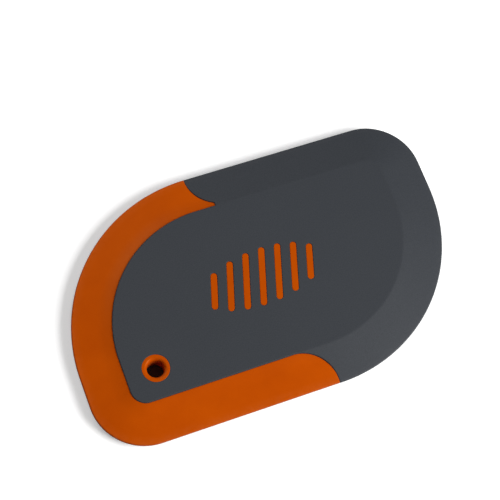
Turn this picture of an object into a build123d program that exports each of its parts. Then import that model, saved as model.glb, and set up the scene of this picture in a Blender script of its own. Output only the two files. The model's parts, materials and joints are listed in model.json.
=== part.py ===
"""Compact two-shot pan scraper: a stiff moulded blade plate, and a soft grip moulded over it.

Seen from above (+Z is the front face, +X runs along the length, +Y across it), the outline is a
rectangle with two large corners and two small ones on opposite diagonals, so that some corner
fits every pan. Both faces slope from a flat grip in the middle down to a thin rim. The slope is
bare stiff plastic round the left half, for scraping, and soft rubber round the right half, for
wiping. The soft piece is one moulding: its front and back skins meet round the right-hand rim
and through a ring of holes in the stiff plate. The origin is under the middle of the outline, on
the flat back that the scraper rests on. All sizes are in millimetres.
"""

from build123d import *
import math
import os

# Outline and section
overall_length = 112.0
overall_width = 69.0
overall_thickness = 5.6
large_corner_radius = 45.5  # top left and bottom right
small_corner_radius = 15.0  # top right and bottom left
rim_thickness = 1.2
rim_round = 0.45  # along both edges of the rim

# Sloping margins, measured in plan from the outline to the flat grip
side_bevel_width = 10.8  # along both long sides
left_bevel_width = 11.1
right_bevel_width = 12.0
grip_large_radius = 34.0
grip_small_radius = 4.2
cove_width = 3.0  # last stretch of the stiff slope, which climbs more steeply to the grip
cove_drop = 0.25  # how far the foot of that stretch lies below an even slope
skin_step = 0.3  # how far the soft grip stands above the stiff slope beside it

# Where the stiff margin gives way to the soft one: an arc across each long side's margin
arc_radius = 10.1
arc_x = -0.4  # of both arcs' centres
arc_overlap = 0.05  # how far each arc reaches past the grip's edge, which it all but grazes
tip_cut = 4.6  # length of thin tip that the upper stiff margin would have, and is cut off

# Stiff web inside the soft grip
skin_thickness = 1.4  # soft skin over each face of the web
web_root = 1.4  # how far the web runs on under the stiff margin that carries it
tongue_setback = 2.0  # web stops this far inside the grip's edge where the margin is soft

# Holes in the web that the soft piece fills, in a ring inside the grip's edge
key_hole_radius = 2.8
key_hole_count = 5
key_ring_inset = 6.5
key_hole_margin = 1.6  # least width of web between such a hole and the collar

# Lanyard hole, in a collar of the stiff piece that both skins leave bare
lanyard_from_end = 19.6  # from the left end of the outline
lanyard_from_side = 19.1  # from its lower long side
bore_radius = 2.4
bore_mouth_break = 0.6  # bevel at each face, inside a flat ring
collar_radius = 3.8

# Raised bars of the stiff piece that show through the front skin as a thumb grip
bar_count = 7
bar_pitch = 4.7
bar_width = 1.9
bar_lean = 18.0  # degrees from straight across the scraper
bar_field_length = 36.0  # axes of the ellipse that the bars' ends follow
bar_field_width = 17.0
bar_recess = 0.1  # tops of the bars below the skin round them

# Derived places
mid_height = overall_thickness / 2
rim_top = mid_height + rim_thickness / 2
web_top = overall_thickness - skin_thickness
half_length = overall_length / 2
half_width = overall_width / 2
lanyard_x = -half_length + lanyard_from_end
lanyard_y = -half_width + lanyard_from_side
arc_y = half_width - side_bevel_width - arc_overlap + arc_radius
reach = 2 * overall_length  # size of a half-plane that is cut or added whole


def rounded_plan(left, right, half, large, small):
    """Plan face from left to right and half a width each side of the X axis, with large radii at
    its top left and bottom right corners and small ones at the other two."""
    corners = [  # centre, radius and starting angle of each corner, clockwise from the top left
        (left + large, half - large, large, 180),
        (right - small, half - small, small, 90),
        (right - large, -half + large, large, 0),
        (left + small, -half + small, small, -90),
    ]
    arcs = [CenterArc((x, y), radius, start, -90) for x, y, radius, start in corners]
    sides = [Line(arcs[i] @ 1, arcs[(i + 1) % 4] @ 0) for i in range(4)]
    return make_face(Wire(arcs + sides)).face()


def outline_plan(inset=0.0):
    """The scraper's outline, drawn in by inset."""
    return rounded_plan(
        -half_length + inset,
        half_length - inset,
        half_width - inset,
        large_corner_radius - inset,
        small_corner_radius - inset,
    )


def grip_plan(inset=0.0):
    """The flat grip's edge, drawn in by inset."""
    return rounded_plan(
        -half_length + left_bevel_width + inset,
        half_length - right_bevel_width - inset,
        half_width - side_bevel_width - inset,
        grip_large_radius - inset,
        max(grip_small_radius - inset, rim_round),
    )


def quadrant(x, y, right, up):
    """Everything to one side of x and to one side of y."""
    return Pos(x + right * reach / 2, y + up * reach / 2) * Rectangle(reach, reach)


def soft_side_plan():
    """Everything on the soft side of the two lines that divide the margin. Each line follows its
    arc out from the grip's edge, and from the middle of the arc on it runs straight across the
    rim. The stiff side lies outside the upper arc, and inside the lower one."""
    top = quadrant(arc_x - tip_cut, 0, 1, 1)
    top += Pos(arc_x, arc_y) * Circle(arc_radius)
    top += quadrant(arc_x - arc_radius, arc_y, 1, 1)
    bottom = quadrant(arc_x, 0, 1, -1)
    bottom -= Pos(arc_x, -arc_y) * Circle(arc_radius)
    bottom -= quadrant(arc_x + arc_radius, -arc_y, -1, -1)
    return top + bottom


def slab(plan, low, high):
    """The plan as a solid from height low to height high."""
    return extrude(Pos(0, 0, low) * plan, high - low)


def bevelled_form(levels):
    """The rim with the same slope on both faces, through each plan and height in levels."""
    rim = slab(outline_plan(), overall_thickness - rim_top, rim_top)
    edges = rim.edges().filter_by(Axis.Z, reverse=True)
    rim = fillet(edges, rim_round)
    foot = Pos(0, 0, rim_top) * outline_plan(rim_round)
    slope = loft([foot] + [Pos(0, 0, height) * plan for plan, height in levels], ruled=True)
    return rim + slope + mirror(slope, Plane.XY.offset(mid_height))


def soft_form():
    """What the soft piece would fill alone: an even slope up to the grip."""
    return bevelled_form([(grip_plan(), overall_thickness)])


def stiff_form():
    """What the stiff piece would fill alone: a slope that ends lower, in a steeper cove."""
    crown = overall_thickness - skin_step
    even = crown - (crown - rim_top) * cove_width / side_bevel_width
    return bevelled_form([(grip_plan(-cove_width), even - cove_drop), (grip_plan(), crown)])


def stiff_margin():
    """The scraping half of the margin."""
    plan = outline_plan() - grip_plan() - soft_side_plan()
    return stiff_form() & slab(plan, 0, overall_thickness)


def web_plan():
    """The web, from under the stiff margin to a tongue that stops short of the soft one."""
    joined = grip_plan(-web_root) - soft_side_plan()
    return joined + grip_plan(tongue_setback)


def key_holes():
    """The ring of holes through the web, less any that would break into the collar."""
    ring = grip_plan(key_ring_inset).outer_wire()
    keep_away = collar_radius + key_hole_margin + key_hole_radius
    places = [ring.position_at(i / key_hole_count) for i in range(key_hole_count)]
    clear = [p for p in places if math.hypot(p.X - lanyard_x, p.Y - lanyard_y) > keep_away]
    hole = Cylinder(key_hole_radius, overall_thickness)
    return [Pos(p.X, p.Y, mid_height) * hole for p in clear]


def thumb_bars(top):
    """The leaning thumb bars, from the middle of the web up to height top."""
    solids = []
    for i in range(bar_count):
        x = (i - (bar_count - 1) / 2) * bar_pitch
        share = max(1 - (2 * x / bar_field_length) ** 2, 0.1)
        length = max(bar_field_width * math.sqrt(share), 1.5 * bar_width)
        plan = Pos(x, 0) * Rot(0, 0, 90 - bar_lean) * SlotOverall(length, bar_width)
        solids.append(slab(plan, mid_height, top))
    return solids


def lanyard_disc(radius):
    """A disc round the lanyard hole's axis, from one face to the other."""
    return Pos(lanyard_x, lanyard_y, mid_height) * Cylinder(radius, overall_thickness)


def collar():
    """The boss round the lanyard hole, flush with both skins, with the hole's mouths bevelled."""
    ring = lanyard_disc(collar_radius) - lanyard_disc(bore_radius)
    mouths = ring.edges().filter_by(GeomType.CIRCLE).group_by(SortBy.RADIUS)[0]
    return chamfer(mouths, min(bore_mouth_break, 0.9 * (collar_radius - bore_radius)))


def stiff_blade_plate():
    """The stiff moulding: margin, web with its ring of holes, thumb bars and collar."""
    web = slab(web_plan(), overall_thickness - web_top, web_top) - key_holes()
    bars = thumb_bars(overall_thickness - bar_recess)
    return stiff_margin() + (web - lanyard_disc(collar_radius)) + bars + collar()


def soft_grip_overmould(plate):
    """The soft moulding: both skins, the wiping half of the margin, and the plugs in the web."""
    plan = grip_plan() + (outline_plan() & soft_side_plan())
    skins = soft_form() & slab(plan, 0, overall_thickness)
    return skins - lanyard_disc(collar_radius) - thumb_bars(overall_thickness) - plate


plate = stiff_blade_plate()
nodes = {"stiff_blade_plate": plate, "soft_grip_overmould": soft_grip_overmould(plate)}

os.makedirs("parts", exist_ok=True)
for name, shape in nodes.items():
    print(f"{name}: {len(shape.solids())} solid, {shape.volume:.0f} mm3")
    export_step(shape, f"parts/{name}.step")
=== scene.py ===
"""A compact two-shot pan scraper lying on its back, dressed for the studio."""

import json
import math
from collections import namedtuple

import bmesh
import bpy
import numpy as np
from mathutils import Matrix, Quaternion, Vector
from mathutils.geometry import delaunay_2d_cdt


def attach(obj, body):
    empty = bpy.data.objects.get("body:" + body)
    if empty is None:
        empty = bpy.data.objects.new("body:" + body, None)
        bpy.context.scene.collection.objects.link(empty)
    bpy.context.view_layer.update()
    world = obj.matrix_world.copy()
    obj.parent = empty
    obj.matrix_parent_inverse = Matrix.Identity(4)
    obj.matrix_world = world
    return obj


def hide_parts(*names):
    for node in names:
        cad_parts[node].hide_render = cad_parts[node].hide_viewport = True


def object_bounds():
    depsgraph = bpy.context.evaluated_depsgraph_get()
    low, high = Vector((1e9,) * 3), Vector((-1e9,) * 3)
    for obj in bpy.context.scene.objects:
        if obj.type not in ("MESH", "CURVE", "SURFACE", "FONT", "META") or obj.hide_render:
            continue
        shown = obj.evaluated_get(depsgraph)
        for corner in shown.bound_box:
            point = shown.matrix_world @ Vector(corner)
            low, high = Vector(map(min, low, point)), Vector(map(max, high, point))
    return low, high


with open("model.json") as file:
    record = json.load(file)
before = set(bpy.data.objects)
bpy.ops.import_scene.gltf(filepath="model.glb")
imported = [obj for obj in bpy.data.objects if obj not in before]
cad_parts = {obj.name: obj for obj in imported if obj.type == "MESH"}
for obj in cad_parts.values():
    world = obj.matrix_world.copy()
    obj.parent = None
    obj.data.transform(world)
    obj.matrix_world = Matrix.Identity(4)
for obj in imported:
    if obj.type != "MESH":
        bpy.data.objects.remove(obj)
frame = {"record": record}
cad_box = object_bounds()

# ---- Stiff blade plate --------------------------------------------------------------------------
# The first shot of a two-shot moulding, in stiff orange nylon. One piece of it is the bare scraping
# half of the margin, the thinner web with its ring of holes that runs on under the grip, the thumb
# bars that stand on that web, and the collar round the lanyard hole.

MM = 0.001
LENGTH, WIDTH, THICKNESS = cad_box[1] - cad_box[0]
MIDDLE = THICKNESS / 2  # height of the plane halfway between the faces, and half the thickness

LARGE_CORNER = 45.5 * MM  # top left and bottom right
SMALL_CORNER = 15.0 * MM  # top right and bottom left
SIDE_BEVEL = 10.8 * MM  # width of the margin along both long sides
LEFT_BEVEL = 11.1 * MM
RIGHT_BEVEL = 12.0 * MM
GRIP_LARGE_CORNER = 34.0 * MM
GRIP_SMALL_CORNER = 4.2 * MM
RIM_HALF = 0.6 * MM  # half the rim's thickness
RIM_ROUND = 0.45 * MM  # along both edges of the rim
WEB_HALF = 1.4 * MM  # half the web's thickness
SKIN_STEP = 0.3 * MM  # how far the soft grip stands above the stiff slope beside it
CROWN = MIDDLE - SKIN_STEP  # top of the stiff slope, above the middle plane
COVE_WIDTH = 3.0 * MM  # last stretch of the stiff slope, which climbs more steeply
COVE_DROP = 0.25 * MM  # how far the foot of that stretch lies below an even slope
COVE_BLEND = 1.3 * MM  # how far to either side of that foot the two slopes blend
STIFF_ROUND = 0.12 * MM  # edges of the stiff piece along the parting line
TONGUE_SETBACK = 2.0 * MM  # web stops this far inside the grip's edge on the soft side

# Each parting line leaves the grip's edge on a circle that only just cuts it, and runs straight
# across the rim from the circle's middle on. It is told by its long side, by the way that it lies
# from the middle, and by how far short of the circle's middle a thin stiff tip is cut off.
Parting = namedtuple("Parting", "side hand tip")
UPPER_PARTING = Parting(1, -1, 4.6 * MM)
LOWER_PARTING = Parting(-1, 1, 0)
ARC_X = -0.4 * MM  # of both circles' middles
ARC_RADIUS = 10.1 * MM
ARC_OVERLAP = 0.05 * MM  # how far the circles reach past the grip's edge
# Where the upper line turns at its tip: below its circle's centre, and in from the outline.
TIP_DEPTH = math.sqrt(ARC_RADIUS**2 - UPPER_PARTING.tip**2)
TIP_INSET = SIDE_BEVEL + ARC_OVERLAP - ARC_RADIUS + TIP_DEPTH

TOP_LEFT, TOP_RIGHT, BOTTOM_RIGHT, BOTTOM_LEFT = range(4)
LARGE_STEPS = 72  # columns of points round a large corner
SMALL_STEPS = 32  # and round a small one
CORNER_GAP = 1  # degrees that a large corner's columns leave free beside a parting line
EDGE_STEPS = 7  # points along the quarter circle of a rounded edge


def corner_circles(left, right, half, large, small):
    """Centre x, centre y and radius of a plan's four corner arcs, clockwise from the top left.
    Each centre lies one radius in from both sides that the arc joins."""
    return np.array([
        (left + large, half - large, large),
        (right - small, half - small, small),
        (right - large, large - half, large),
        (left + small, small - half, small),
    ])


OUTLINE = corner_circles(-LENGTH / 2, LENGTH / 2, WIDTH / 2, LARGE_CORNER, SMALL_CORNER)
GRIP = corner_circles(
    LEFT_BEVEL - LENGTH / 2,
    LENGTH / 2 - RIGHT_BEVEL,
    WIDTH / 2 - SIDE_BEVEL,
    GRIP_LARGE_CORNER,
    GRIP_SMALL_CORNER,
)


def corner_points(level, corner, start, end):
    """Plan points round one corner, at levels from 0 at the outline to 1 at the grip's edge and on
    inside it. A level's circle is the outline's moved that share of the way to the grip's, and a
    point is its centre plus its radius times the cosine and sine of an evenly spaced angle."""
    angle = np.radians(np.linspace(start, end, level.shape[1]))
    outer, inner = OUTLINE[corner], GRIP[corner]
    x, y, radius = (outer[i] + level * (inner[i] - outer[i]) for i in range(3))
    return np.stack([x + radius * np.cos(angle), y + radius * np.sin(angle)], axis=-1)


def parting_points(level, parting, away):
    """Plan points beside a parting line, on circles larger than it by each distance in away. At a
    level's depth inside the circle's centre, Pythagoras gives how far along the side it lies."""
    depth = np.maximum(ARC_RADIUS - ARC_OVERLAP - SIDE_BEVEL * np.maximum(1 - level, 0), 0)
    square = (ARC_RADIUS + away) ** 2 - depth**2
    along = np.maximum(np.sign(square) * np.sqrt(np.abs(square)), parting.tip + away)
    y = parting.side * (WIDTH / 2 - SIDE_BEVEL * level)
    return np.stack([ARC_X + parting.hand * along, y], axis=-1)


# Distances from a parting line at which a column of points follows it, closer near the line. The
# columns round the corners are given a metre, at which the line has no effect on them.
NEAR = STIFF_ROUND * np.array([0, 0.06, 0.2, 0.42, 0.7, 1, 1.6])
FAR = np.ones(SMALL_STEPS + LARGE_STEPS)
STIFF_AWAY = np.concatenate([NEAR, FAR, NEAR[::-1]])
LIP_REACH = 0.4 * MM  # from the grip's edge out to where the evenly spaced rows start
STIFF_ROWS = 34


def stiff_side(level):
    """Plan points clockwise round the stiff half, from the lower parting line to the upper one."""
    near, small = len(NEAR), len(NEAR) + SMALL_STEPS
    return np.concatenate([
        parting_points(level[:, :near], LOWER_PARTING, -NEAR),
        corner_points(level[:, near:small], BOTTOM_LEFT, -90, -180),
        corner_points(level[:, small:-near], TOP_LEFT, 180, 90 + CORNER_GAP),
        parting_points(level[:, -near:], UPPER_PARTING, NEAR[::-1]),
    ], axis=1)


def edge_fall(distance, radius):
    """How far a rounded edge has fallen at a distance in from its end: a quarter circle."""
    short = np.clip(1 - distance / radius, 0, 1)
    return radius * (1 - np.sqrt(1 - short**2))


def blended(x, knee, height, before, after, reach):
    """Two straight slopes that meet at a knee of that height, joined over reach on either side of
    it by the parabola that leaves the first and meets the second without a corner."""
    past = np.clip(x - knee + reach, 0, 2 * reach)
    turn = np.where(x > knee + reach, x - knee, past**2 / (4 * reach))
    return height + before * (x - knee) + (after - before) * turn


def slope_rows(start, steps):
    """Insets down a slope to the rim, with one where the upper parting line turns at its tip."""
    even = np.linspace(start, RIM_ROUND, steps)[:-1]
    return np.sort(np.append(even, TIP_INSET))[::-1]


def rim_rows():
    """Inset and height along the front half of the rim: a quarter circle, then the flat edge."""
    angle = np.linspace(0, math.pi / 2, EDGE_STEPS)
    inset = RIM_ROUND * (1 - np.sin(angle))
    height = RIM_HALF - RIM_ROUND + RIM_ROUND * np.cos(angle)
    return inset, height


def both_faces(level, height):
    """A front half profile carried on round the rim as its mirror image on the back."""
    return np.concatenate([level, level[::-1]]), np.concatenate([height, -height[::-1]])


def stiff_slope(inset):
    """Height of the stiff slope: a straight line up from the rim, then the steeper cove."""
    even = (CROWN - RIM_HALF) / (SIDE_BEVEL - RIM_ROUND)
    knee = SIDE_BEVEL - COVE_WIDTH
    height = CROWN - even * COVE_WIDTH - COVE_DROP
    before = (height - RIM_HALF) / (knee - RIM_ROUND)
    after = (CROWN - height) / COVE_WIDTH
    return blended(inset, knee, height, before, after, COVE_BLEND)


def stiff_profile():
    """Level, height and outward exposure of the stiff margin's section, from the web up the wall
    under the grip's edge, over the slope to the rim, and back along the other face."""
    lip = SIDE_BEVEL - NEAR
    inset = np.concatenate([lip, slope_rows(SIDE_BEVEL - LIP_REACH, STIFF_ROWS)])
    height = stiff_slope(inset) - edge_fall(SIDE_BEVEL - inset, STIFF_ROUND)
    rim_inset, rim_height = rim_rows()
    inset = np.concatenate([[SIDE_BEVEL], inset, rim_inset])
    height = np.concatenate([[WEB_HALF], height, rim_height])
    level, height = both_faces(inset / SIDE_BEVEL, height)
    exposed = np.ones_like(level)
    exposed[[0, -1]] = 0
    return level, height, exposed


def swept(plan, level, height, exposed, away, radius):
    """A section carried along a plan path, one row of points for each point of the section. Beside
    the parting line the surface falls inwards along the section's normal, as a rounded edge."""
    no_length = 1e-12  # keeps a point that its neighbours coincide with from dividing by zero
    inset = level * SIDE_BEVEL
    run, rise = np.gradient(inset), np.gradient(height)
    length = np.hypot(run, rise) + no_length
    fall = edge_fall(away, radius)[None, :] * exposed[:, None]
    inset = inset[:, None] + fall * (np.abs(rise) / length)[:, None]
    height = height[:, None] - fall * (np.sign(height) * np.abs(run) / length)[:, None]
    points = plan(inset / SIDE_BEVEL)
    return np.concatenate([points, (MIDDLE + height)[..., None]], axis=-1)


def grid_patch(points, closed=False):
    """Points in rows and columns as a patch of four-sided faces, joined at the ends if closed."""
    rows, columns = points.shape[:2]
    index = np.arange(rows * columns).reshape(rows, columns)
    right = np.roll(index, -1, axis=1) if closed else index[:, 1:]
    left = index if closed else index[:, :-1]
    quads = np.stack([left[:-1], left[1:], right[1:], right[:-1]], axis=-1).reshape(-1, 4)
    return points.reshape(-1, 3), quads.tolist()


def at_height(plan, height):
    """Plan points lifted to one height."""
    return np.column_stack([plan, np.full(len(plan), MIDDLE + height)])


def face_patch(points):
    """One many-sided face."""
    return points, [list(range(len(points)))]


def end_patch(section):
    """The face where a section stops at a parting line, as upright strips between each point on
    the front and its twin on the back. The first two points stand one above the other."""
    last = len(section) - 1
    strips = [[i, i + 1, last - i - 1, last - i] for i in range(2, last // 2)]
    return section, [[0, 1, 2, last - 2, last - 1, last], *strips]


def flat_patch(outer, holes, height):
    """A flat face inside one plan loop and outside others, as triangles between their points. The
    plan is in millimetres while it is divided."""
    same_point = 1e-5  # points that are closer are one
    loops = [outer, *holes]
    starts = np.cumsum([0] + [len(loop) for loop in loops])
    faces = [[int(start) + i for i in range(len(loop))] for start, loop in zip(starts, loops)]
    plan = [Vector(p) for p in np.concatenate(loops) / MM]
    inside_with_holes = 2
    made = delaunay_2d_cdt(plan, [], faces, inside_with_holes, same_point)
    return at_height(np.array([tuple(p) for p in made[0]]) * MM, height), made[2]


def circle(centre, radius, steps=64):
    """Plan points evenly round a circle, one row for each radius."""
    angle = np.linspace(0, 2 * math.pi, steps, endpoint=False)
    radius = np.atleast_1d(radius)[:, None]
    return np.stack([centre[0] + radius * np.cos(angle), centre[1] + radius * np.sin(angle)], -1)


def ring_band(loops, height):
    """Closed plan loops, each at its own height, as one band."""
    lift = np.broadcast_to((MIDDLE + np.asarray(height))[:, None, None], (*loops.shape[:2], 1))
    return grid_patch(np.concatenate([loops, lift], axis=-1), closed=True)


KEY_HOLE_RADIUS = 2.8 * MM
KEY_HOLE_STEPS = 32  # points round each
KEY_HOLE_COUNT = 5
KEY_RING_INSET = 6.5 * MM  # from the grip's edge to the ring that the holes lie on
KEY_HOLE_MARGIN = 1.6 * MM  # least width of web between a hole and the collar
COLLAR_RADIUS = 3.8 * MM
lanyard = next(m for m in frame["record"]["mounts"] if m["name"] == "lanyard_bore")
LANYARD = np.array(lanyard["pos_m"][:2])
BORE_RADIUS = lanyard["dims"]["r_mm"] * MM
BORE_MOUTH_ROUND = 0.85 * MM
BORE_MOUTH_STEPS = 12
COLLAR_ROUND = 0.12 * MM
COLLAR_STEPS = 6
# Radii of two rows on the flat ring, just clear of its edges' rounds, that keep it shaded flat.
RING_OUTER = COLLAR_RADIUS - 1.7 * COLLAR_ROUND
RING_INNER = BORE_RADIUS + 1.06 * BORE_MOUTH_ROUND


def key_holes():
    """Centres of the holes in the web, evenly spaced clockwise along a ring inside the grip's edge
    from the end of its top left corner, less any that would break into the collar."""
    circles = corner_circles(
        LEFT_BEVEL + KEY_RING_INSET - LENGTH / 2,
        LENGTH / 2 - RIGHT_BEVEL - KEY_RING_INSET,
        WIDTH / 2 - SIDE_BEVEL - KEY_RING_INSET,
        GRIP_LARGE_CORNER - KEY_RING_INSET,
        max(GRIP_SMALL_CORNER - KEY_RING_INSET, RIM_ROUND),
    )
    turn = np.radians(180 - np.linspace(0, 90, LARGE_STEPS) - 90 * np.arange(4)[:, None])
    x, y, radius = (circles[:, i, None] for i in range(3))
    ring = np.stack([x + radius * np.cos(turn), y + radius * np.sin(turn)], -1).reshape(-1, 2)
    start = LARGE_STEPS - 1
    ring = np.vstack([ring[start:], ring[: start + 1]])
    walked = np.concatenate([[0], np.cumsum(np.hypot(*np.diff(ring, axis=0).T))])
    stops = np.arange(KEY_HOLE_COUNT) / KEY_HOLE_COUNT * walked[-1]
    centres = np.stack([np.interp(stops, walked, ring[:, i]) for i in range(2)], -1)
    clear = COLLAR_RADIUS + KEY_HOLE_MARGIN + KEY_HOLE_RADIUS
    return centres[np.hypot(*(centres - LANYARD).T) > clear]


BAR_COUNT = 7
BAR_PITCH = 4.7 * MM
BAR_WIDTH = 1.9 * MM
BAR_LEAN = 18.0  # degrees from straight across the scraper
BAR_FIELD = (36.0 * MM, 17.0 * MM)  # axes of the ellipse that the bars' ends follow
LEAST_BAR_SHARE = 0.1  # keeps the square root of a bar's share real past the ellipse's ends
LEAST_BAR = 1.5 * BAR_WIDTH  # length of the shortest bar allowed
BAR_RECESS = 0.1 * MM  # tops of the bars below the skin round them
BAR_ROUND = 0.2 * MM  # edges of their tops
BAR_FLAT = -1.5 * BAR_ROUND  # offset of a row on the flat top, clear of that round


def bar_loops(bar, offset, steps=16):
    """Plan loops round one thumb bar, each wider than it by an offset: two half circles about the
    ends of the bar's middle line. The bars' ends follow an ellipse."""
    x = (bar - (BAR_COUNT - 1) / 2) * BAR_PITCH
    share = max(1 - (2 * x / BAR_FIELD[0]) ** 2, LEAST_BAR_SHARE)
    length = max(BAR_FIELD[1] * math.sqrt(share), LEAST_BAR)
    heading = math.radians(90 - BAR_LEAN)
    half_turn = np.linspace(-math.pi / 2, math.pi / 2, steps)
    angle = heading + np.concatenate([half_turn, half_turn + math.pi])
    end = np.repeat([1, -1], steps) * (length - BAR_WIDTH) / 2
    radius = BAR_WIDTH / 2 + np.atleast_1d(offset)[:, None]
    return np.stack([
        x + end * math.cos(heading) + radius * np.cos(angle),
        end * math.sin(heading) + radius * np.sin(angle),
    ], axis=-1)


def tongue():
    """Plan points round the web's free edge, inside the soft half of the grip's edge, from the
    upper parting line clockwise to the lower one."""
    level = np.full((1, SMALL_STEPS), 1 + TONGUE_SETBACK / SIDE_BEVEL)
    flat = WIDTH / 2 - SIDE_BEVEL - TONGUE_SETBACK
    upper, lower = (stiff_side(np.ones((1, len(STIFF_AWAY))))[0, i] for i in (-1, 0))
    return np.concatenate([
        [upper, (upper[0], flat)],
        corner_points(level, TOP_RIGHT, 90, 0)[0],
        corner_points(level, BOTTOM_RIGHT, 0, -90)[0],
        [(lower[0], -flat), lower],
    ])


def web_patches():
    """The web's two faces, its free edge and the walls of its holes. The soft piece is moulded
    against these same faces."""
    edge = tongue()
    outer = np.concatenate([stiff_side(np.ones((1, len(STIFF_AWAY))))[0], edge[1:-1]])
    keys = [circle(centre, KEY_HOLE_RADIUS, KEY_HOLE_STEPS) for centre in key_holes()]
    collar = circle(LANYARD, COLLAR_RADIUS)[0]
    bars = [bar_loops(bar, 0)[0] for bar in range(BAR_COUNT)]
    round_holes = [key[0] for key in keys] + [collar]
    walls = [ring_band(np.repeat(key, 2, axis=0), [WEB_HALF, -WEB_HALF]) for key in keys]
    strip = grid_patch(np.stack([at_height(edge, WEB_HALF), at_height(edge, -WEB_HALF)]))
    front = flat_patch(outer, round_holes + bars, WEB_HALF)
    back = flat_patch(outer, round_holes, -WEB_HALF)
    return [front, back, strip, *walls]


def collar_patch():
    """The collar turned about the lanyard hole: up its outer wall, over the flat ring with a small
    round at its edge, down a round mouth and through the bore, then the same on the back."""
    angle = np.linspace(0, math.pi / 2, COLLAR_STEPS)
    mouth = np.linspace(0, math.pi / 2, BORE_MOUTH_STEPS)
    radius = np.concatenate([
        [COLLAR_RADIUS],
        COLLAR_RADIUS - COLLAR_ROUND * (1 - np.cos(angle)),
        [RING_OUTER, RING_INNER],
        BORE_RADIUS + BORE_MOUTH_ROUND * (1 - np.sin(mouth)),
    ])
    height = np.concatenate([
        [WEB_HALF],
        MIDDLE - COLLAR_ROUND * (1 - np.sin(angle)),
        [MIDDLE, MIDDLE],
        MIDDLE - BORE_MOUTH_ROUND * (1 - np.cos(mouth)),
    ])
    radius, height = both_faces(radius, height)
    return ring_band(circle(LANYARD, radius), height)


def bar_patches():
    """The thumb bars: straight walls up from the web, a rounded edge and a flat top."""
    angle = np.linspace(0, math.pi / 2, EDGE_STEPS)
    top = MIDDLE - BAR_RECESS
    offset = np.concatenate([[0], BAR_ROUND * (np.cos(angle) - 1), [BAR_FLAT]])
    height = np.concatenate([[WEB_HALF], top - BAR_ROUND * (1 - np.sin(angle)), [top]])
    patches = []
    for bar in range(BAR_COUNT):
        loops = bar_loops(bar, offset)
        patches += [ring_band(loops, height), face_patch(at_height(loops[-1], top))]
    return patches


WELD = 0.002 * MM  # points of two patches that are closer than this are one
SHARP_ANGLE = math.radians(25)  # an edge that turns by more is shaded sharp


def moulding(name, patches):
    """One closed mesh of the patches, with their shared points merged and its faces outwards."""
    starts = np.cumsum([0] + [len(points) for points, _ in patches])
    points = np.concatenate([points for points, _ in patches])
    faces = [
        [int(start) + i for i in face] for start, (_, some) in zip(starts, patches) for face in some
    ]
    mesh = bpy.data.meshes.new(name)
    mesh.from_pydata(points.tolist(), [], faces)
    form = bmesh.new()
    form.from_mesh(mesh)
    bmesh.ops.remove_doubles(form, verts=form.verts, dist=WELD)
    bmesh.ops.recalc_face_normals(form, faces=form.faces)
    form.to_mesh(mesh)
    form.free()
    mesh.shade_smooth()
    mesh.set_sharp_from_angle(angle=SHARP_ANGLE)
    piece = bpy.data.objects.new(name, mesh)
    bpy.context.collection.objects.link(piece)
    return piece


def new_material(name):
    """An empty node material, with its node maker, its linker and its one shader."""
    material = bpy.data.materials.new(name)
    material.use_nodes = True
    nodes, links = material.node_tree.nodes, material.node_tree.links
    return material, nodes, links, nodes["Principled BSDF"]


def object_noise(nodes, links, scale, detail, roughness=0.5):
    """A noise on Object coordinates, with that many cells to the metre."""
    place = nodes.get("Texture Coordinate") or nodes.new("ShaderNodeTexCoord")
    noise = nodes.new("ShaderNodeTexNoise")
    noise.inputs["Scale"].default_value = scale
    noise.inputs["Detail"].default_value = detail
    noise.inputs["Roughness"].default_value = roughness
    links.new(place.outputs["Object"], noise.inputs["Vector"])
    return noise.outputs["Fac"]


def ramped(nodes, links, value, low, high, dark, light):
    """A colour that goes from dark to light as a value goes from low to high."""
    ramp = nodes.new("ShaderNodeValToRGB")
    ramp.color_ramp.elements[0].position = low
    ramp.color_ramp.elements[0].color = (*dark, 1)
    ramp.color_ramp.elements[1].position = high
    ramp.color_ramp.elements[1].color = (*light, 1)
    links.new(value, ramp.inputs["Fac"])
    return ramp.outputs["Color"]


NOISE_LEAST, NOISE_MOST = 0.3, 0.7  # values between which nearly all of a noise lies


def ranged(nodes, links, value, low, high):
    """A number that goes from low to high as a noise goes from its least to its most."""
    span = nodes.new("ShaderNodeMapRange")
    span.inputs["From Min"].default_value = NOISE_LEAST
    span.inputs["From Max"].default_value = NOISE_MOST
    span.inputs["To Min"].default_value = low
    span.inputs["To Max"].default_value = high
    links.new(value, span.inputs["Value"])
    return span.outputs["Result"]


def bumped(nodes, links, value, depth):
    """A bump of that depth, in metres, from a value."""
    bump = nodes.new("ShaderNodeBump")
    bump.inputs["Strength"].default_value = 1.0
    bump.inputs["Distance"].default_value = depth
    links.new(value, bump.inputs["Height"])
    return bump.outputs["Normal"]


def product(nodes, links, first, second):
    """Two values multiplied."""
    times = nodes.new("ShaderNodeMath")
    times.operation = "MULTIPLY"
    links.new(first, times.inputs[0])
    links.new(second, times.inputs[1])
    return times.outputs["Value"]


# Numbers of the Mix node's colour sockets, which share their names with others.
MIX_FIRST, MIX_SECOND, MIX_RESULT = 6, 7, 2


def mixed(nodes, links, factor, first, second):
    """A colour that goes from the first, which is linked, to the second as a factor rises to 1."""
    mix = nodes.new("ShaderNodeMix")
    mix.data_type = "RGBA"
    links.new(factor, mix.inputs["Factor"])
    links.new(first, mix.inputs[MIX_FIRST])
    mix.inputs[MIX_SECOND].default_value = (*second, 1)
    return mix.outputs[MIX_RESULT]


SCUFF_MOST = 0.25  # share of the scuffed colour where the rim is most scuffed
SCUFF_PATCHES = 600  # to the metre
SCUFF_FULL = 0.6 * RIM_HALF  # height off the middle plane up to which scuffs are full
SCUFF_END = 1.5 * RIM_HALF  # and at which they end


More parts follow.
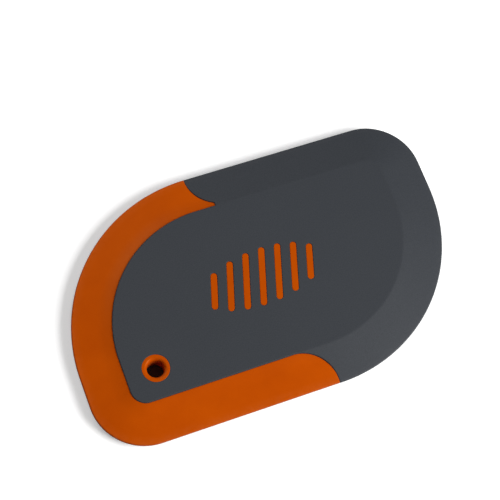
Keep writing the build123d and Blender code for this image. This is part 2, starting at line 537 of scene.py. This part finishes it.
def rim_scuffs(nodes, links):
    """How scuffed a surface is: in patches on the rim, and nothing up the slopes. That is a share
    that falls with the height off the middle plane, times a noise."""
    place = nodes.new("ShaderNodeSeparateXYZ")
    links.new(nodes["Texture Coordinate"].outputs["Object"], place.inputs["Vector"])
    above = nodes.new("ShaderNodeMath")
    above.operation = "SUBTRACT"
    above.inputs[1].default_value = MIDDLE
    links.new(place.outputs["Z"], above.inputs[0])
    off = nodes.new("ShaderNodeMath")
    off.operation = "ABSOLUTE"
    links.new(above.outputs["Value"], off.inputs[0])
    rim = nodes.new("ShaderNodeMapRange")
    rim.inputs["From Min"].default_value = SCUFF_END
    rim.inputs["From Max"].default_value = SCUFF_FULL
    links.new(off.outputs["Value"], rim.inputs["Value"])
    noise = object_noise(nodes, links, SCUFF_PATCHES, detail=4, roughness=0.65)
    patches = ranged(nodes, links, noise, 0, SCUFF_MOST)
    return product(nodes, links, rim.outputs["Result"], patches)


ORANGE_DARK = (0.440, 0.060, 0.0004)
ORANGE_LIGHT = (0.492, 0.0715, 0.0005)
ORANGE_SCUFFED = (0.62, 0.17, 0.05)
ORANGE_GLEAM = (1, 0.5, 0.15, 1)  # tint of its reflections
NYLON_CLOUDS = 90  # to the metre
NYLON_GRAINS = 2600
NYLON_GRAIN_DEPTH = 0.0025 * MM


def orange_nylon():
    """Smooth moulded nylon: satin orange with a faint cloudiness, a fine polished grain, and a
    rim that is a little scuffed and pale."""
    material, nodes, links, shader = new_material("orange_nylon")
    cloud = object_noise(nodes, links, NYLON_CLOUDS, detail=6, roughness=0.6)
    grain = object_noise(nodes, links, NYLON_GRAINS, detail=2)
    even = ramped(nodes, links, cloud, NOISE_LEAST, NOISE_MOST, ORANGE_DARK, ORANGE_LIGHT)
    colour = mixed(nodes, links, rim_scuffs(nodes, links), even, ORANGE_SCUFFED)
    links.new(colour, shader.inputs["Base Color"])
    roughness = ranged(nodes, links, grain, low=0.28, high=0.34)
    links.new(roughness, shader.inputs["Roughness"])
    links.new(bumped(nodes, links, grain, NYLON_GRAIN_DEPTH), shader.inputs["Normal"])
    shader.inputs["Specular IOR Level"].default_value = 0.15
    shader.inputs["Specular Tint"].default_value = ORANGE_GLEAM
    return material


level, height, exposed = stiff_profile()
margin = swept(stiff_side, level, height, exposed, STIFF_AWAY, STIFF_ROUND)
plate = moulding("orange_blade_plate", [
    grid_patch(margin),
    end_patch(margin[:, 0]),
    end_patch(margin[:, -1]),
    *web_patches(),
    *bar_patches(),
    collar_patch(),
])
plate.data.materials.append(orange_nylon())
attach(plate, "root")
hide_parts("stiff_blade_plate")

# ---- Soft grip overmould ------------------------------------------------------------------------
# The second shot, in soft matte grey rubber, moulded over the plate in the same tool. It is the
# front and back skins of the grip, the wiping half of the margin, and the plugs that fill the
# web's holes, so nothing else holds it on.

SOFT_ROUND = 0.25 * MM  # the skin's edge along the parting line
WINDOW_ROUND = 0.15 * MM  # its edge round each thumb bar and round the collar
CREASE_REACH = 0.35 * MM  # half the width of the soft crease between the grip and the slope
CREASE_FADE = 2.0 * MM  # beside the parting line, where the crease sharpens to meet it
INNER = SOFT_ROUND * np.array([3.2, 2.1, 1.5, 1, 0.7, 0.42, 0.2, 0.06, 0])  # inside the grip's edge
SOFT_NEAR = SOFT_ROUND * np.array([0, 0.06, 0.2, 0.42, 0.7, 1, 1.6, 2.6])
SOFT_AWAY = np.concatenate([SOFT_NEAR, FAR, SOFT_NEAR[::-1]])
SOFT_ROWS = 40  # evenly spaced, down the slope
CREASE_ROWS = np.linspace(0, 1.4, 8)[1:]  # closer ones beside the crease, in its reaches
WINDOW_FLAT = 2 * WINDOW_ROUND  # offset of a row on the flat skin, clear of a hole's round


def soft_side(level):
    """Plan points clockwise round the soft half, from the upper parting line to the lower one."""
    near, small = len(SOFT_NEAR), len(SOFT_NEAR) + SMALL_STEPS
    return np.concatenate([
        parting_points(level[:, :near], UPPER_PARTING, -SOFT_NEAR),
        corner_points(level[:, near:small], TOP_RIGHT, 90, 0),
        corner_points(level[:, small:-near], BOTTOM_RIGHT, 0, CORNER_GAP - 90),
        parting_points(level[:, -near:], LOWER_PARTING, SOFT_NEAR[::-1]),
    ], axis=1)


def soft_margin():
    """The soft half, from just inside the grip's edge on the front round the rim to the same place
    on the back. It falls as a rounded edge towards the parting line, and the fall goes by the
    distance to the nearest part of that line, the grip's edge included."""
    slope = slope_rows(SIDE_BEVEL, SOFT_ROWS)
    close = SIDE_BEVEL - CREASE_REACH * CREASE_ROWS
    inset = np.concatenate([SIDE_BEVEL + INNER, close, slope[slope < close[-1]]])
    steep = (MIDDLE - RIM_HALF) / (SIDE_BEVEL - RIM_ROUND)
    sharp = MIDDLE - steep * np.maximum(SIDE_BEVEL - inset, 0)
    creased = blended(inset, SIDE_BEVEL, MIDDLE, steep, 0, CREASE_REACH)
    rim_inset, rim_height = rim_rows()
    inset = np.concatenate([inset, rim_inset])
    sharp = np.concatenate([sharp, rim_height])
    creased = np.concatenate([creased, rim_height])
    fade = np.clip(SOFT_AWAY / CREASE_FADE, 0, 1)
    fade = fade * fade * (3 - 2 * fade)
    height = sharp[:, None] + (creased - sharp)[:, None] * fade
    run, rise = np.gradient(inset), np.gradient(sharp)
    length = np.hypot(run, rise)
    run, rise = run / length, rise / length
    run[inset >= SIDE_BEVEL], rise[inset >= SIDE_BEVEL] = -1, 0
    within = np.maximum(inset - SIDE_BEVEL, 0)[:, None]
    fall = edge_fall(np.hypot(SOFT_AWAY[None, :], within), SOFT_ROUND)
    height = height - fall * np.abs(run)[:, None]
    plan = soft_side((inset[:, None] + fall * np.abs(rise)[:, None]) / SIDE_BEVEL)
    front = np.concatenate([plan, (MIDDLE + height)[..., None]], axis=-1)
    back = np.concatenate([plan, (MIDDLE - height)[..., None]], axis=-1)
    return np.concatenate([front, back[::-1]])


def grip_lip(face):
    """The skin's free edge along the stiff slope, on the front (1) or back (-1): flat, then a
    rounded edge, then the wall that seals against the plate down to its web."""
    inset = np.concatenate([SIDE_BEVEL + INNER, [SIDE_BEVEL]])
    height = np.concatenate([MIDDLE - edge_fall(INNER, SOFT_ROUND), [WEB_HALF]])
    plan = stiff_side(np.repeat((inset / SIDE_BEVEL)[:, None], len(STIFF_AWAY), axis=1))
    lift = np.broadcast_to((MIDDLE + face * height)[:, None, None], (*plan.shape[:2], 1))
    return np.concatenate([plan, lift], axis=-1)


def window_rows():
    """Offset from a hole's wall, and height, down the skin's rounded edge into the hole."""
    angle = np.linspace(0, math.pi / 2, EDGE_STEPS)
    offset = np.concatenate([[WINDOW_FLAT], WINDOW_ROUND * (1 - np.sin(angle)), [0]])
    fall = WINDOW_ROUND * (1 - np.cos(angle))
    height = np.concatenate([[MIDDLE], MIDDLE - fall, [WEB_HALF]])
    return offset, height


GREY_DARK = (0.026, 0.030, 0.036)
GREY_LIGHT = (0.040, 0.0445, 0.053)
GREY_SCUFFED = (0.075, 0.080, 0.088)
RUBBER_CLOUDS = 60  # to the metre
RUBBER_SPECKLES = 3200
RUBBER_SPECKLE_DEPTH = 0.018 * MM
SPECKLE_MOST = 0.72  # value of the noise at which a speckle is at its lightest


def grey_rubber():
    """Soft matte rubber off a spark-eroded tool: a dark, slightly blue grey with fine speckle, and
    a rim that is a little scuffed and pale."""
    material, nodes, links, shader = new_material("grey_rubber")
    speckle = object_noise(nodes, links, RUBBER_SPECKLES, detail=3, roughness=0.75)
    cloud = object_noise(nodes, links, RUBBER_CLOUDS, detail=3)
    even = ramped(nodes, links, speckle, NOISE_LEAST, SPECKLE_MOST, GREY_DARK, GREY_LIGHT)
    colour = mixed(nodes, links, rim_scuffs(nodes, links), even, GREY_SCUFFED)
    links.new(colour, shader.inputs["Base Color"])
    roughness = ranged(nodes, links, cloud, low=0.58, high=0.66)
    links.new(roughness, shader.inputs["Roughness"])
    links.new(bumped(nodes, links, speckle, RUBBER_SPECKLE_DEPTH), shader.inputs["Normal"])
    shader.inputs["Specular IOR Level"].default_value = 0.32
    return material


soft = soft_margin()
lips = {face: grip_lip(face) for face in (1, -1)}
# First row, and one past the last, of those from the grip's edge round to it on the back.
first, last = len(INNER) - 1, len(soft) - len(INNER) + 1
flat_edge = np.concatenate([lips[1][0, :, :2], soft[0, 1:-1, :2]])
offset, height = window_rows()
windows = [bar_loops(bar, offset) for bar in range(BAR_COUNT)]
collar_seat = circle(LANYARD, COLLAR_RADIUS + offset)
# Going clockwise, the soft half starts where the stiff one ends, and ends where that starts.
ends = [
    np.concatenate([lips[1][-1:, other], soft[first:last, column], lips[-1][-1:, other]])
    for column, other in ((0, -1), (-1, 0))
]
grip = moulding("grey_grip_overmould", [
    grid_patch(soft),
    grid_patch(lips[1]),
    grid_patch(lips[-1]),
    end_patch(ends[0]),
    end_patch(ends[1]),
    flat_patch(flat_edge, [window[0] for window in windows] + [collar_seat[0]], MIDDLE),
    flat_patch(flat_edge, [collar_seat[0]], -MIDDLE),
    *[ring_band(window, height) for window in windows],
    ring_band(collar_seat, height),
    ring_band(collar_seat, -height),
    *web_patches(),
])
grip.data.materials.append(grey_rubber())
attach(grip, "root")
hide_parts("soft_grip_overmould")

# ---- Studio -------------------------------------------------------------------------------------
# A pale floor that the scraper lies on, dark with painted shade under it, two soft lamps and an
# even world, and the camera at the photograph's angle. None of it is part of the scraper.

FLOOR_SIZE = 3.0  # metres
FLOOR_GAP = 0.01 * MM
PAPER = (0.97, 0.97, 0.97)
# painted shade: the paper is dark under the scraper, for the shadow seen through the lanyard hole
PAPER_PAINTED_SHADE = (0.08, 0.08, 0.08)  # under the scraper
PAPER_BOUNCE = (0.10, 0.10, 0.10)  # as the scraper is lit by it
# How far out the paper starts to turn from painted shade to pale, and is pale, by pale_floor's
# measure.
PALE_START, PALE_END = 0.86, 0.97
# How far out its glow starts to rise, and is full, by the same measure, and the least glow.
GLOW_START, GLOW_END = 1.2, 4.0
GLOW_LEAST = 0.3


def pale_floor():
    """Matt paper, white to the camera. It throws back less light than that on the scraper, whose
    rim the photograph shows dark against it. It glows a little to the camera, so that the shadow
    is soft, and more further out, where the lamps no longer reach. Under the scraper it is painted
    dark: painted shade for the shadow that is seen there through the lanyard hole. How far out a
    point lies is measured on ellipses about the middle, of which the one at 1 is as long and as
    wide as the scraper."""
    material, nodes, links, shader = new_material("pale_floor")
    place = nodes.new("ShaderNodeTexCoord")
    scaled = nodes.new("ShaderNodeVectorMath")
    scaled.operation = "MULTIPLY"
    scaled.inputs[1].default_value = (2 / LENGTH, 2 / WIDTH, 0)
    links.new(place.outputs["Object"], scaled.inputs[0])
    out = nodes.new("ShaderNodeVectorMath")
    out.operation = "LENGTH"
    links.new(scaled.outputs["Vector"], out.inputs[0])
    # 0 under the scraper, where the paper is painted shade, rising to 1 past its outline
    beside = ramped(nodes, links, out.outputs["Value"], PALE_START, PALE_END, (0, 0, 0), (1, 1, 1))
    path = nodes.new("ShaderNodeLightPath")
    shown = ramped(nodes, links, beside, 0, 1, PAPER_PAINTED_SHADE, PAPER)
    colour = mixed(nodes, links, path.outputs["Is Diffuse Ray"], shown, PAPER_BOUNCE)
    links.new(colour, shader.inputs["Base Color"])
    glow = nodes.new("ShaderNodeMapRange")
    glow.inputs["From Min"].default_value = GLOW_START
    glow.inputs["From Max"].default_value = GLOW_END
    glow.inputs["To Min"].default_value = GLOW_LEAST
    links.new(out.outputs["Value"], glow.inputs["Value"])
    seen = product(nodes, links, beside, path.outputs["Is Camera Ray"])
    strength = product(nodes, links, seen, glow.outputs["Result"])
    links.new(strength, shader.inputs["Emission Strength"])
    shader.inputs["Emission Color"].default_value = (1, 1, 1, 1)
    shader.inputs["Roughness"].default_value = 0.9
    shader.inputs["Specular IOR Level"].default_value = 0.1
    return material


WORLD_LIGHT = 0.10  # strength that lights the scraper
WORLD_SHOWN = 1.0  # strength that the camera sees, which is white


def even_world():
    """Even light from all round, and plain white where the camera sees past the floor."""
    world = bpy.data.worlds.new("studio")
    world.use_nodes = True
    nodes, links = world.node_tree.nodes, world.node_tree.links
    path = nodes.new("ShaderNodeLightPath")
    strength = nodes.new("ShaderNodeMapRange")
    strength.inputs["To Min"].default_value = WORLD_LIGHT
    strength.inputs["To Max"].default_value = WORLD_SHOWN
    links.new(path.outputs["Is Camera Ray"], strength.inputs["Value"])
    background = nodes["Background"]
    background.inputs["Color"].default_value = (1, 1, 1, 1)
    links.new(strength.outputs["Result"], background.inputs["Strength"])
    return world


def lamp(name, place, size, power):
    """A square soft lamp turned to the scraper. Its place and size are in metres, and its power in
    watts."""
    data = bpy.data.lights.new(name, "AREA")
    data.size = size
    data.energy = power
    made = bpy.data.objects.new(name, data)
    made.location = place
    made.rotation_euler = Vector(place).to_track_quat("Z", "Y").to_euler()
    bpy.context.collection.objects.link(made)


corners = FLOOR_SIZE / 2 * np.array([(-1, -1), (1, -1), (1, 1), (-1, 1)])
points, faces = face_patch(np.column_stack([corners, np.full(4, -FLOOR_GAP)]))
floor_mesh = bpy.data.meshes.new("floor")
floor_mesh.from_pydata(points.tolist(), [], faces)
floor_mesh.materials.append(pale_floor())
floor = bpy.data.objects.new("floor", floor_mesh)
bpy.context.collection.objects.link(floor)

lamp("key_lamp", place=(0.51, -0.48, 0.49), size=0.5, power=10.4)
lamp("fill_lamp", place=(-0.27, 0.67, 0.45), size=0.6, power=3.4)
bpy.context.scene.world = even_world()

CAMERA_PLACE = Vector((-96.165, -115.38, 384.536)) * MM
CAMERA_BACK = Vector((-0.23316, -0.30147, 0.92453))
CAMERA_ROLL = 18.245  # degrees
PHOTO_WIDTH = 500  # pixels
FOCAL_LENGTH_IN_PIXELS = 1490
SENSOR_WIDTH = 36.0  # millimetres
NEAREST_SEEN = 0.01  # metres from the camera

camera_data = bpy.data.cameras.new("camera")
camera_data.sensor_width = SENSOR_WIDTH
camera_data.lens = SENSOR_WIDTH * FOCAL_LENGTH_IN_PIXELS / PHOTO_WIDTH
camera_data.clip_start = NEAREST_SEEN
camera = bpy.data.objects.new("camera", camera_data)
camera.location = CAMERA_PLACE
turn = CAMERA_BACK.to_track_quat("Z", "Y") @ Quaternion((0, 0, 1), math.radians(CAMERA_ROLL))
camera.rotation_euler = turn.to_euler()
bpy.context.collection.objects.link(camera)
bpy.context.scene.camera = camera

bpy.context.scene.view_settings.view_transform = "Standard"
